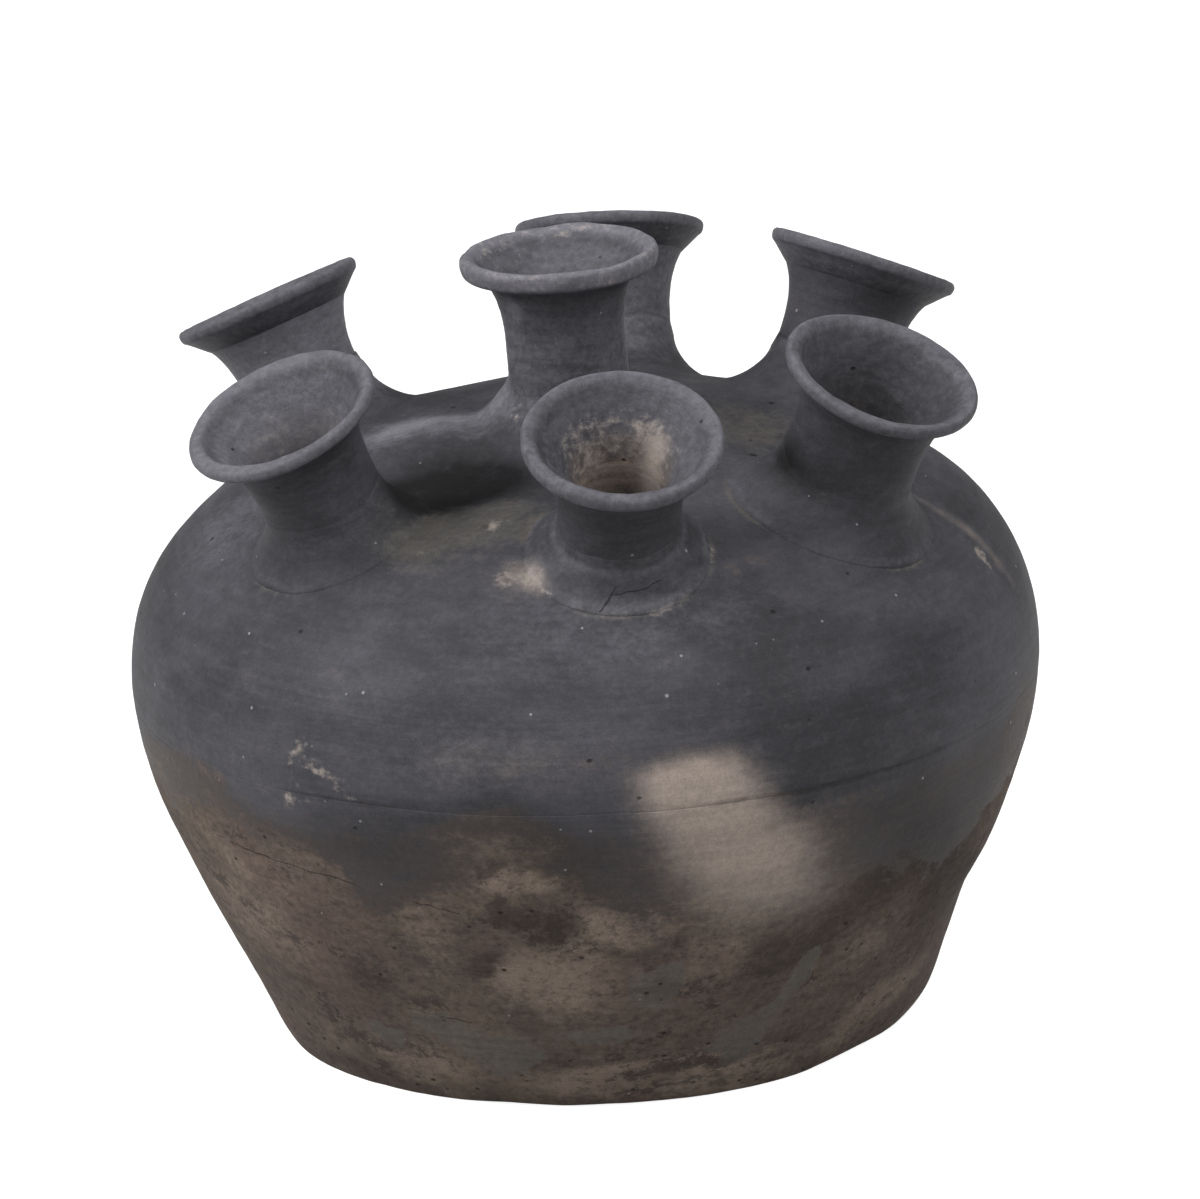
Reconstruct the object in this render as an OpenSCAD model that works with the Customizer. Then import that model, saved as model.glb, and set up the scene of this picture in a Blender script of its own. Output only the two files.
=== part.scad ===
// Hand-built clay vase with one upright spout and six leaning ones.
// Millimetres, +Z up, origin at the centre of the foot. The front of the vase faces -Y.

/* [Body] */
// Widest diameter of the belly
body_d = 430; // [380:1:520]
// Height of the crown, without the spouts
body_h = 288; // [260:1:340]
// Height at which the belly is widest
belly_h = 172; // [140:1:190]
// Diameter of the foot on the ground
foot_d = 298; // [240:1:340]
// How fast the lower wall turns in towards the foot
belly_curve = 1.5; // [1.3:0.05:1.8]
// How square the shoulder of the crown is
crown_curve = 2.25; // [2:0.05:2.5]
// Thickness of the thrown walls
wall_t = 9; // [6:0.5:14]
// Thickness of the floor
floor_t = 14; // [8:1:22]
// Radius of the worn bottom edge
foot_round = 6; // [2:0.5:12]
// Radius inside, between floor and wall
cavity_round = 16; // [6:1:30]

/* [Seam] */
// Distance from the widest level down to the seam
seam_drop = 7; // [0:1:20]
// How far the seam falls from outside to inside
seam_bevel = 4; // [1:0.5:8]
// Thickness of the coil pressed into the seam inside
seam_coil_d = 16; // [8:1:24]

/* [Spouts] */
// Distance from the widest edge of the belly in to where a leaning neck stands
ring_inset = 75.5; // [65:0.5:90]
// Wall thickness of a neck
neck_wall = 8.5; // [5:0.5:12]
// Diameter of a mouth, measured at the middle of its lip
mouth_d = 83; // [76:1:96]
// Height over which a neck opens into its mouth
flare_h = 34.5; // [24:0.5:40]
// How far the root of a neck stands proud inside the crown
root_proud = 5; // [1:0.5:10]

/* [Lips] */
// Thickness of the roll of clay on a mouth
lip_d = 8.4; // [6:0.2:12]
// Depth of the roll below its middle, where it sits on the neck
lip_seat = 2.5; // [1:0.1:2.8]
// How far the roll overhangs the neck outside
lip_overhang = 1.5; // [0.5:0.1:3]

/* [Foot collars] */
// Height of a collar at its neck
collar_h = 13; // [8:0.5:20]
// Width of a collar from the neck to its edge
collar_w = 15; // [10:0.5:20]
// How far a collar has fallen at its edge, below the foot of the neck
collar_sink = 3; // [1:0.5:6]
// Width of the feathered skirt past the edge
collar_skirt = 8; // [4:0.5:10]

/* [Centre spout] */
// Distance of its neck from the middle of the crown
centre_offset = 1.5; // [0:0.5:6]
// Direction in which it stands off the middle and leans
centre_turn = 270; // [0:1:359]
// Lean from the vertical
centre_lean = 2; // [0:0.5:6]
// Length from the crown to the middle of its lip
centre_length = 78; // [64:1:100]
// Outer diameter of its neck
centre_neck_d = 56; // [48:1:66]

/* [Front spout] */
// Place round the crown, from the front towards the right
front_turn = 7; // [0:1:14]
// Lean from the vertical
front_lean = 24.5; // [16:0.5:30]
// Turn of the lean away from straight outward
front_sway = 1.5; // [-8:0.5:8]
// Length from the crown to the middle of its lip
front_length = 65; // [58:1:84]
// Outer diameter of its neck
front_neck_d = 56; // [48:1:66]

/* [Right front spout] */
// Place round the crown
right_front_turn = 57; // [53:1:64]
// Lean from the vertical
right_front_lean = 25.5; // [16:0.5:30]
// Turn of the lean away from straight outward
right_front_sway = -6; // [-8:0.5:8]
// Length from the crown to the middle of its lip
right_front_length = 70; // [58:1:84]
// Outer diameter of its neck
right_front_neck_d = 62; // [48:1:66]

/* [Right rear spout] */
// Place round the crown
right_rear_turn = 124; // [116:1:126]
// Lean from the vertical
right_rear_lean = 26; // [16:0.5:30]
// Turn of the lean away from straight outward
right_rear_sway = 4; // [-8:0.5:8]
// Length from the crown to the middle of its lip
right_rear_length = 71; // [58:1:84]
// Outer diameter of its neck
right_rear_neck_d = 56; // [48:1:66]

/* [Rear spout] */
// Place round the crown
rear_turn = 172; // [170:1:180]
// Lean from the vertical
rear_lean = 23; // [16:0.5:30]
// Turn of the lean away from straight outward
rear_sway = 6.5; // [-8:0.5:8]
// Length from the crown to the middle of its lip
rear_length = 72; // [58:1:84]
// Outer diameter of its neck
rear_neck_d = 56; // [48:1:66]

/* [Left rear spout] */
// Place round the crown
left_rear_turn = 239; // [234:1:246]
// Lean from the vertical
left_rear_lean = 25; // [16:0.5:30]
// Turn of the lean away from straight outward
left_rear_sway = 1; // [-8:0.5:8]
// Length from the crown to the middle of its lip
left_rear_length = 66.5; // [58:0.5:84]
// Outer diameter of its neck
left_rear_neck_d = 56; // [48:1:66]

/* [Left front spout] */
// Place round the crown
left_front_turn = 307; // [298:1:310]
// Lean from the vertical
left_front_lean = 25; // [16:0.5:30]
// Turn of the lean away from straight outward
left_front_sway = -0.5; // [-8:0.5:8]
// Length from the crown to the middle of its lip
left_front_length = 64; // [58:1:84]
// Outer diameter of its neck
left_front_neck_d = 56; // [48:1:66]

/* [Hidden] */
body_r = body_d / 2;
// Radius of the circle on the crown where the leaning necks stand
ring_r = body_r - ring_inset;
// One row per spout: name, distance from the middle, turn, lean, sway, length, neck diameter
SPOUTS = [
  ["centre", centre_offset, centre_turn, centre_lean, 0, centre_length, centre_neck_d],
  ["front", ring_r, front_turn, front_lean, front_sway, front_length, front_neck_d],
  ["right_front", ring_r, right_front_turn, right_front_lean, right_front_sway,
    right_front_length, right_front_neck_d],
  ["right_rear", ring_r, right_rear_turn, right_rear_lean, right_rear_sway,
    right_rear_length, right_rear_neck_d],
  ["rear", ring_r, rear_turn, rear_lean, rear_sway, rear_length, rear_neck_d],
  ["left_rear", ring_r, left_rear_turn, left_rear_lean, left_rear_sway,
    left_rear_length, left_rear_neck_d],
  ["left_front", ring_r, left_front_turn, left_front_lean, left_front_sway,
    left_front_length, left_front_neck_d]
];
function name_of(s) = s[0];
function stand_r(s) = s[1];
function turn_of(s) = s[2];
function lean_of(s) = s[3];
function sway_of(s) = s[4];
function length_of(s) = s[5];
function neck_r(s) = s[6] / 2;

// Smoothness of the round shapes
$fn = 96;
// Straight stretches along the lower wall, the crown, a rounded corner and a collar
wall_steps = 12;
crown_steps = 14;
corner_steps = 4;
collar_steps = 8;
// Overrun of a cutter past what it cuts
overrun = 5;
// Colours of the smoked upper half and spouts, and of the paler fire-marked bowl
smoked_clay = [0.27, 0.27, 0.29];
marked_clay = [0.36, 0.33, 0.30];

foot_r = foot_d / 2;
crown_rise = body_h - belly_h;
seam_h = belly_h - seam_drop;
mouth_r = mouth_d / 2;
lip_r = lip_d / 2;
// Half the width of the flat that the lip sits on
seat_half = sqrt(lip_r * lip_r - lip_seat * lip_seat);

// Outer radius of the lower wall at height z
function belly_r(z) = body_r - (body_r - foot_r) * pow((belly_h - z) / belly_h, belly_curve);
// Angle between the lower wall and the vertical at height z
function belly_slope(z) = atan(belly_curve * (body_r - foot_r) / belly_h
  * pow((belly_h - z) / belly_h, belly_curve - 1));
// Height of the crown at radius r
function crown_z(r) = belly_h + crown_rise
  * pow(1 - pow(r / body_r, crown_curve), 1 / crown_curve);
// Angle between the crown's normal and the vertical at radius r
function crown_tilt(r) = atan(crown_rise / body_r * pow(r / body_r, crown_curve - 1)
  * pow(1 - pow(r / body_r, crown_curve), 1 / crown_curve - 1));

// Closed half outline of the body, drawn in by skin, standing on height bottom
function body_outline(skin, bottom, corner) =
  let (
    slope = belly_slope(bottom),
    corner_x = belly_r(bottom) - skin + corner * tan(slope) - corner / cos(slope),
    wall_z = bottom + corner * (1 - sin(slope))
  )
  concat(
    [[0, bottom]],
    [for (i = [0:corner_steps - 1])
      let (a = -90 + (90 - slope) * i / corner_steps)
      [corner_x + corner * cos(a), bottom + corner + corner * sin(a)]],
    [for (i = [0:wall_steps])
      let (z = belly_h - (belly_h - wall_z) * pow(1 - i / wall_steps, 2))
      [belly_r(z) - skin, z]],
    [for (i = [1:crown_steps])
      let (a = 90 * i / crown_steps)
      [(body_r - skin) * pow(abs(cos(a)), 2 / crown_curve),
        belly_h + (crown_rise - skin) * pow(sin(a), 2 / crown_curve)]]
  );

module body_profile() polygon(body_outline(0, 0, foot_round));

module cavity_profile() polygon(body_outline(wall_t, floor_t, cavity_round));

// Everything above the seam, whose joint falls towards the inside
module above_seam() {
  fall = seam_bevel / wall_t;
  edge_r = belly_r(seam_h);
  polygon([
    [0, seam_h - edge_r * fall],
    [body_d, seam_h + (body_d - edge_r) * fall],
    [body_d, body_d + body_h],
    [0, body_d + body_h]
  ]);
}

// Puts its children on the foot of a spout, with +Z along the spout
module at_spout(s) {
  translate([
    stand_r(s) * sin(turn_of(s)),
    -stand_r(s) * cos(turn_of(s)),
    crown_z(stand_r(s))
  ])
    rotate([0, lean_of(s), turn_of(s) + sway_of(s) - 90])
      children();
}

// How far a neck reaches down from its foot to stand proud inside the crown
function root_depth(s) = wall_t + root_proud
  + neck_r(s) * tan(abs(lean_of(s) - crown_tilt(stand_r(s))));

// Lower half of the vessel with its floor, up to the seam
module lower_bowl() {
  color(marked_clay)
    rotate_extrude()
      difference() {
        body_profile();
        cavity_profile();
        above_seam();
      }
}

// Upper half of the vessel, with a hole for the root of each neck
module crown_dome() {
  color(smoked_clay)
    difference() {
      rotate_extrude()
        intersection() {
          difference() {
            body_profile();
            cavity_profile();
          }
          above_seam();
        }
      for (s = SPOUTS)
        at_spout(s)
          translate([0, 0, -root_depth(s) - overrun])
            cylinder(h = root_depth(s) + collar_h + overrun, r = neck_r(s));
    }
}

// Coil pressed into the inside of the seam, flat against both halves
module seam_coil() {
  color(smoked_clay)
    rotate_extrude()
      intersection() {
        translate([belly_r(seam_h) - wall_t, seam_h - seam_bevel])
          circle(d = seam_coil_d);
        cavity_profile();
      }
}

// Half section of a neck: a straight tube that opens between two arcs
module neck_profile(s) {
  bore_r = neck_r(s) - neck_wall;
  top = length_of(s) - lip_seat;
  flare_z = top - flare_h;
  spread_in = mouth_r - seat_half - bore_r;
  spread_out = mouth_r + seat_half - lip_overhang - neck_r(s);
  arc_in = (spread_in * spread_in + flare_h * flare_h) / (2 * spread_in);
  arc_out = (spread_out * spread_out + flare_h * flare_h) / (2 * spread_out);
  translate([bore_r, -root_depth(s)])
    square([neck_wall, root_depth(s) + flare_z]);
  difference() {
    intersection() {
      translate([bore_r, flare_z])
        square([neck_wall + spread_out, flare_h]);
      translate([bore_r + arc_in, flare_z])
        circle(r = arc_in);
    }
    translate([neck_r(s) + arc_out, flare_z])
      circle(r = arc_out);
  }
}

// Neck of one spout, pushed through the crown
module neck(s) {
  color(smoked_clay)
    at_spout(s)
      rotate_extrude()
        neck_profile(s);
}

// Coil wiped down round the foot of a neck, lying on the crown
module collar(s) {
  edge_r = neck_r(s) + collar_w;
  depth = edge_r / 2;
  color(smoked_clay)
    difference() {
      at_spout(s)
        rotate_extrude()
          polygon(concat(
            [[neck_r(s), -depth]],
            [for (i = [0:collar_steps])
              [neck_r(s) + collar_w * i / collar_steps,
                (collar_h + collar_sink) * (1 + cos(180 * i / collar_steps)) / 2 - collar_sink]],
            [[edge_r + collar_skirt, -collar_sink - collar_skirt], [edge_r + collar_skirt, -depth]]
          ));
      rotate_extrude()
        body_profile();
    }
}

// Roll of clay laid on a mouth, flat where it sits on the neck
module lip(s) {
  color(smoked_clay)
    at_spout(s)
      rotate_extrude()
        translate([mouth_r, length_of(s)])
          difference() {
            circle(r = lip_r);
            translate([-lip_r, -lip_d - lip_seat])
              square(lip_d);
          }
}

lower_bowl();
crown_dome();
seam_coil();
for (s = SPOUTS) {
  neck(s);
  collar(s);
  lip(s);
}
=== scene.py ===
# %% [markdown]
# # A black-fired clay vase with seven spouts
#
# The object is a wide clay vessel. One spout stands upright on the middle of its crown, and six
# more lean outward round it. A potter throws the parts one by one, joins them with slip, wipes a
# coil of clay round every joint and fires the whole pot once, in smoke. So this lesson makes it
# in the same order: bowl, crown, necks, foot collars, lips, and then one clay finish for all of
# them.
#
# Every piece is turned with bmesh, as on a wheel, and is then pushed about: small fields of
# numbers say how far the skin lies from the perfect shape. The CAD model gives the frame, and
# each new piece takes the place of its CAD node, which is hidden.

import math
from collections import namedtuple

import bmesh
import bpy
import numpy as np
from mathutils import Matrix, Vector, noise


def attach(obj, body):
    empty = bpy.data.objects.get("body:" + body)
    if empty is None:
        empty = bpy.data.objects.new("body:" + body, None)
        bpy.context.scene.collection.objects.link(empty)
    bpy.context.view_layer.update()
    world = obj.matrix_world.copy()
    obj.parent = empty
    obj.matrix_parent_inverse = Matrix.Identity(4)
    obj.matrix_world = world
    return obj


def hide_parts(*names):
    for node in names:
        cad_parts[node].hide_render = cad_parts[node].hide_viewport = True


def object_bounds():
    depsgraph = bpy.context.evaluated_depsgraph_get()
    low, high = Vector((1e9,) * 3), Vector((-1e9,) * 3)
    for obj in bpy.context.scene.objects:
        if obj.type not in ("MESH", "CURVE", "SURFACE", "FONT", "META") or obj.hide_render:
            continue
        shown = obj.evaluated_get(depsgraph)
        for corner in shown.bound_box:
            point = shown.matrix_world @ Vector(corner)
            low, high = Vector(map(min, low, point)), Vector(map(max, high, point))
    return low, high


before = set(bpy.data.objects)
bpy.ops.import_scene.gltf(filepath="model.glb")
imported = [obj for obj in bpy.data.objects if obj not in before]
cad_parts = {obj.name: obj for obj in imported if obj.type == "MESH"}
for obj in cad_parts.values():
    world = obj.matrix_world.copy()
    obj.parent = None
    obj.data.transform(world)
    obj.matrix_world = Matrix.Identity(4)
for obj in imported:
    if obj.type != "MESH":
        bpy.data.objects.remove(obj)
cad_low, cad_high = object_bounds()
MM = 0.001
print("CAD box in millimetres:", [round(side / MM, 1) for side in cad_high - cad_low])

# %% [markdown]
# ## Driving sizes
#
# These are the sizes of the CAD model, in metres. The belly is widest at a known level. Below it
# the wall turns in along a power curve, and above it the crown is a quarter of a superellipse.
# The skin is kept a hair inside the CAD's widest diameter, so that dents and bumps stay inside
# its box.

# %% Sizes of the body
BODY_R = (cad_high.x - cad_low.x) / 2 - 0.6 * MM
BELLY_H = 172 * MM
BODY_H = 287.6 * MM
FOOT_R = 148.6 * MM
BELLY_CURVE = 1.5
CROWN_CURVE = 2.25
CROWN_RISE = BODY_H - BELLY_H
WALL = 9 * MM
FLOOR = 14 * MM
FOOT_ROUND = 4.5 * MM
SEAM_H = 165 * MM
SEAM_FALL = 4 * MM
SPIN_STEPS = 560


def belly_radius(height):
    """Outer radius of the lower wall."""
    return BODY_R - (BODY_R - FOOT_R) * ((BELLY_H - height) / BELLY_H) ** BELLY_CURVE


def crown_height(radius):
    """Height of the crown's outer skin, for one radius or an array of them."""
    share = np.clip(np.asarray(radius) / BODY_R, 0, 1) ** CROWN_CURVE
    return BELLY_H + CROWN_RISE * (1 - share) ** (1 / CROWN_CURVE)


print("crown height over the ring of spouts:", round(float(crown_height(0.1395)) / MM, 1), "mm")

# %% [markdown]
# ## The seven spouts
#
# Each spout has its own place, lean and length, because they were set by hand and by eye. `turn`
# goes from the front towards the right, `lean` is measured from the vertical and `sway` turns the
# lean away from straight outward. All the parts of a spout share one local frame, with its Z
# along the spout.

# %% Table of spouts
Spout = namedtuple("Spout", "name stand turn lean sway length neck_r")
RING_R = 139.5 * MM
SPOUTS = [
    Spout("centre", 1.5 * MM, 270, 2, 0, 78 * MM, 28 * MM),
    Spout("front", RING_R, 7, 24.5, 1.5, 65 * MM, 28 * MM),
    Spout("right_front", RING_R, 57, 25.5, -6, 70 * MM, 31 * MM),
    Spout("right_rear", RING_R, 124, 26, 4, 71 * MM, 28 * MM),
    Spout("rear", RING_R, 172, 23, 6.5, 72 * MM, 28 * MM),
    Spout("left_rear", RING_R, 239, 25, 1, 66.5 * MM, 28 * MM),
    Spout("left_front", RING_R, 307, 25, -0.5, 64 * MM, 28 * MM),
]


def spout_frame(spout):
    """Matrix from a spout's own frame, standing on the crown, to the vase's frame."""
    turn = math.radians(spout.turn)
    height = float(crown_height(spout.stand))
    foot = (spout.stand * math.sin(turn), -spout.stand * math.cos(turn), height)
    heading = math.radians(spout.turn + spout.sway - 90)
    return (
        Matrix.Translation(foot)
        @ Matrix.Rotation(heading, 4, "Z")
        @ Matrix.Rotation(math.radians(spout.lean), 4, "Y")
    )


for spout in SPOUTS:
    print(spout.name, "stands at", [round(x / MM) for x in spout_frame(spout).translation])

# %% [markdown]
# ## Turning on the wheel
#
# A half section goes in, and `thrown` turns it all the way round. It could be spun through a full
# circle, but each step of a spin looks through the whole mesh, so a fine one is slow. A quarter
# turn that is mirrored twice gives the same shape in a tenth of the time. Each point of the
# section also carries two numbers that go to every new vertex. `skin` says how much of the
# hand-made unevenness reaches it: all of it outside, none in the hidden corners. `along` is its
# place along the section, for pieces that are laid over another surface afterwards.

# %% A section turned into a mesh
WELD = 0.005 * MM


def placed(name, bm):
    """Makes a bmesh an object of the scene."""
    mesh = bpy.data.meshes.new(name)
    bm.to_mesh(mesh)
    bm.free()
    piece = bpy.data.objects.new(name, mesh)
    bpy.context.scene.collection.objects.link(piece)
    return piece


def thrown(name, section, steps, closed):
    """Spins points (radius, height, skin, along) round the Z axis into a smooth closed mesh."""
    bm = bmesh.new()
    skin = bm.verts.layers.float.new("skin")
    along = bm.verts.layers.float.new("along")
    points = []
    for radius, height, share, place in section:
        point = bm.verts.new((radius, 0, height))
        point[skin], point[along] = share, place
        points.append(point)
    ends = points[1:] + points[:1] if closed else points[1:]
    edges = [bm.edges.new(pair) for pair in zip(points, ends)]
    bmesh.ops.spin(
        bm, geom=points + edges, cent=(0, 0, 0), axis=(0, 0, 1), dvec=(0, 0, 0),
        angle=math.tau / 4, steps=steps // 4, use_merge=False, use_duplicate=False,
    )
    for axis in ("X", "Y"):
        whole = bm.verts[:] + bm.edges[:] + bm.faces[:]
        bmesh.ops.mirror(bm, geom=whole, axis=axis, merge_dist=WELD)
    bmesh.ops.remove_doubles(bm, verts=bm.verts, dist=WELD)
    bmesh.ops.recalc_face_normals(bm, faces=bm.faces)
    for face in bm.faces:
        face.smooth = True
    return placed(name, bm)


def read(piece, what="co"):
    """The vertices' places, normals or one of their numbers, as an array."""
    mesh = piece.data
    triples = {"co": (mesh.vertices, "co"), "normal": (mesh.vertex_normals, "vector")}
    if what in triples:
        source, field = triples[what]
        values = np.empty(len(mesh.vertices) * 3)
        source.foreach_get(field, values)
        return values.reshape(-1, 3)
    values = np.empty(len(mesh.vertices))
    mesh.attributes[what].data.foreach_get("value", values)
    return values


def write(piece, places):
    """Puts the vertices at new places."""
    flat = np.ascontiguousarray(places, dtype=np.float32).ravel()
    piece.data.vertices.foreach_set("co", flat)
    piece.data.update()


# %% [markdown]
# ## Hand-made unevenness
#
# A perfect solid of revolution looks like plastic. Clay shows slow swellings from the hands,
# faint rings from the wheel and dents where pieces were pressed on. All of these are fields:
# functions that take an array of points and give back one number for each. `grain` is smooth
# noise of a chosen size, and `hump` is a soft round bump. Noise is seeded by its arguments alone,
# so every run is the same.

# %% Fields
def grain(points, size, seed=0.0):
    """Smooth noise from about -1 to 1, whose lumps are about `size` across."""
    shift = Vector((seed * 7.3, seed * -3.1, seed * 5.7))
    scale = 1 / size
    return np.array([noise.noise(Vector(point) * scale + shift) for point in points])


def layered(points, *layers):
    """Sum of noises, each given by its height and size in millimetres and its seed."""
    return sum(high * MM * grain(points, size * MM, seed) for high, size, seed in layers)


def hump(distance, reach):
    """1 at no distance, falling smoothly to nearly nothing at twice the reach."""
    return np.exp(-((distance / reach) ** 2))


def ease(value, low, high):
    """0 below low, 1 above high and a smooth slope between, in either order."""
    share = np.clip((value - low) / (high - low), 0, 1)
    return share * share * (3 - 2 * share)


def azimuth(points):
    """Angle round the vase in degrees, 0 at the front and 90 on the right."""
    return np.degrees(np.arctan2(points[:, 0], -points[:, 1]))


def apart(turn, middle):
    """How far turns lie from a middle one, in degrees from -180 to 180."""
    return (turn - middle + 180) % 360 - 180


def round_circle(turn):
    """Points on a circle of radius 1, at turns in radians."""
    return np.column_stack([np.cos(turn), np.sin(turn), np.zeros(len(turn))])


def patch(points, turn, height, wide, tall, tilt=0, firm=1):
    """An oval spot on the body, centred at a turn and a height. A firm one has a flatter middle."""
    across = np.radians(apart(azimuth(points), turn)) * BODY_R
    up = points[:, 2] - height
    cosine, sine = math.cos(math.radians(tilt)), math.sin(math.radians(tilt))
    square = ((across * cosine + up * sine) / wide) ** 2
    square += ((up * cosine - across * sine) / tall) ** 2
    return np.exp(-(square**firm))


def ball(points, place, reach):
    """A soft spot round a point given in millimetres."""
    return hump(np.linalg.norm(points - np.array(place) * MM, axis=1), reach)


# %% [markdown]
# ## The skin of the body
#
# Bowl and crown are one surface to the eye, so they share their fields. `body_form` holds what
# bends the whole wall: a fuller right shoulder, a belly that sags at the left, a foot that was
# pushed out, and the hollows between the spouts. The deepest one lies between the middle spout
# and the two in front of it at the left. `body_relief` adds what only the outer skin has: the
# slow unevenness of the hands and the rings of the wheel.

# %% Relief of the body
HOLLOWS = [
    # millimetres: x, y, reach along x, reach to the front and to the back, depth
    (-57, -38, 29, 24, 15, 8.5),
    (-62, -66, 31, 30, 26, 6.5),
    (-30, -80, 22, 18, 18, 2.5),
    (-64, 3, 27, 12, 12, -2.2),
    (-33, 2, 7, 9, 22, -3.2),
    (84, 0, 25, 34, 34, 5.5),
    (88, -50, 12, 16, 16, 2.0),
    (50, 78, 26, 22, 22, 1.5),
    (-5, 55, 140, 46, 90, -5.6),
    (-58, 92, 24, 24, 24, 3.0),
]
BULGES = [
    # turn in degrees; height, half width, half height and push outward in millimetres
    (102, 240, 78, 28, 3.4),
    (-100, 226, 60, 24, 0.9),
    (-82, 134, 80, 32, 1.8),
    (82, 138, 60, 22, 0.9),
    (78, 60, 60, 17, -2.6),
    (74, 12, 60, 18, 4.2),
    (-62, 3, 92, 22, 3.4),
    (30, 0, 50, 14, 1.0),
    (74.4, 222, 6, 5, -1.6),
    (73.2, 229, 4, 4, -0.9),
]
SWELL_H = 2.2 * MM
SWELL_REACH = 15 * MM
FOOT_HOLLOW = 1.5 * MM
SKIN_SUNK = 0.3 * MM


def spout_parts(points, spout):
    """Distance from a spout's axis, height along it, and the turn round it in degrees."""
    local = np.array(spout_frame(spout).inverted())
    near = points @ local[:3, :3].T + local[:3, 3]
    turn = np.degrees(np.arctan2(near[:, 1], near[:, 0]))
    return np.hypot(near[:, 0], near[:, 1]), near[:, 2], turn


def body_form(points):
    """How far the whole wall is bent out of the perfect shape."""
    height = points[:, 2]
    form = np.zeros(len(points))
    for turn, *sizes in BULGES:
        level, wide, tall, push = (size * MM for size in sizes)
        form += push * patch(points, turn, level, wide, tall)
    top = ease(height, 225 * MM, 255 * MM)
    for hollow in HOLLOWS:
        x, y, reach, reach_front, reach_back, depth = (size * MM for size in hollow)
        back = points[:, 1] - y
        back = back / np.where(back < 0, reach_front, reach_back)
        form -= top * depth * np.exp(-(((points[:, 0] - x) / reach) ** 2) - back**2)
    top = ease(height, 190 * MM, 225 * MM)
    for spout in SPOUTS:
        beyond = np.maximum(spout_parts(points, spout)[0] - spout.neck_r, 0)
        form += top * SWELL_H * hump(beyond, SWELL_REACH)
    return form


def body_relief(points):
    """How far the outer skin lies outside the perfect shape."""
    height = points[:, 2]
    radius = np.hypot(points[:, 0], points[:, 1])
    relief = layered(points, (0.45, 95, 1), (0.30, 34, 2), (0.09, 9, 3))
    relief += layered(points * np.array([1.2, 1.2, 22.0]), (0.12, 120, 4))
    relief += (1 - ease(height, 0, 26 * MM)) * layered(points, (1.0, 30, 5))
    under = (1 - ease(radius, 60 * MM, 130 * MM)) * (1 - ease(height, 1 * MM, 30 * MM))
    return relief + body_form(points) - FOOT_HOLLOW * under - SKIN_SUNK


# %% [markdown]
# ## The seam between bowl and crown
#
# Two halves were thrown and set rim to rim. The joint shows as a soft dark line that runs round
# just below the widest level. At the right and at the left it is easy to see, and in between it
# was smeared shut. Both rims are rounded over by a depth that changes round the pot, so the line
# is real: a shallow groove between two solids.

# %% Rims at the seam
def seam_wander(points):
    """How far the seam runs above or below its level."""
    flat = points * np.array([1, 1, 0])
    return hump(points[:, 2] - SEAM_H, 22 * MM) * layered(flat, (1.6, 120, 8), (0.5, 24, 9))


def seam_strength(points):
    """How open the seam was left at each turn, from 0 to 1."""
    turn = azimuth(points)
    circle = round_circle(np.radians(turn))
    worn = 0.4 + 0.6 * grain(circle, 0.35, 6) + 0.35 * grain(circle, 0.06, 7)
    plain = 0.08 + 0.6 * hump(turn - 34, 18) + 0.4 * hump(turn + 31, 12)
    return np.clip(plain + 0.3 * hump(np.abs(turn) - 150, 40) + 0.3 * worn, 0, 1)


def belly_rate(height):
    """How fast the lower wall widens with height."""
    drop = np.clip((BELLY_H - height) / BELLY_H, 0, 1)
    return BELLY_CURVE * (BODY_R - FOOT_R) / BELLY_H * drop ** (BELLY_CURVE - 1)


def outward(points):
    """Direction straight away from the perfect wall."""
    radius = np.maximum(np.hypot(points[:, 0], points[:, 1]), 0.1 * MM)
    up = np.maximum(points[:, 2] - BELLY_H, 0) / CROWN_RISE
    rim = np.minimum(radius / BODY_R, 1) ** (CROWN_CURVE - 1) / BODY_R
    crown_rise = up ** (CROWN_CURVE - 1) / CROWN_RISE / rim
    rise = np.where(points[:, 2] > BELLY_H, crown_rise, -belly_rate(points[:, 2]))
    ways = np.column_stack([points[:, 0] / radius, points[:, 1] / radius, rise])
    return ways / np.linalg.norm(ways, axis=1)[:, None]


def shape_body(piece):
    """Gives a thrown half of the body its unevenness and its rim."""
    places, normals, skin = read(piece), read(piece, "normal"), read(piece, "skin")
    rim = read(piece, "along")
    inside = np.where((skin < 1) | (rim > 0), 1.0, 0.0)[:, None]
    relief = np.where(skin < 1, body_form(places), body_relief(places))
    relief -= rim * (0.04 + 0.42 * seam_strength(places)) * MM
    ways = normals * (1 - inside) + outward(places) * inside
    places = places + ways * relief[:, None]
    places[:, 2] += seam_wander(places)
    places[:, 2] = np.maximum(places[:, 2], 0)
    write(piece, places)


# %% [markdown]
# ## Bowl
#
# The section of the bowl runs from the middle of the foot outward, round the worn bottom edge, up
# the wall to the seam, and back down inside to the floor. Points lie about two millimetres apart
# on the outside and closer at the seam. Inside, where nobody looks, they are further apart.

# %% Section and mesh of the bowl
def arc(centre_r, centre_h, radius, start, end, count):
    """Points on an arc of a section, with angles in degrees from straight outward."""
    angles = np.radians(np.linspace(start, end, count))
    return [(centre_r + radius * math.cos(a), centre_h + radius * math.sin(a)) for a in angles]


# distance from the edge of a rim, and how far the rim is rounded over there
RIM_STEPS = [(0.0, 1.0), (0.5 * MM, 0.6), (1.1 * MM, 0.27), (1.9 * MM, 0.08), (2.9 * MM, 0.01)]
CAVITY_ROUND = 16 * MM


def rim_face(shares):
    """Points on the bevel between the halves, from the outside at 0 to the inside at 1."""
    edge_r = belly_radius(SEAM_H)
    return [(edge_r - s * WALL, SEAM_H - s * SEAM_FALL, 0.0, 1 - s) for s in shares]


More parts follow.
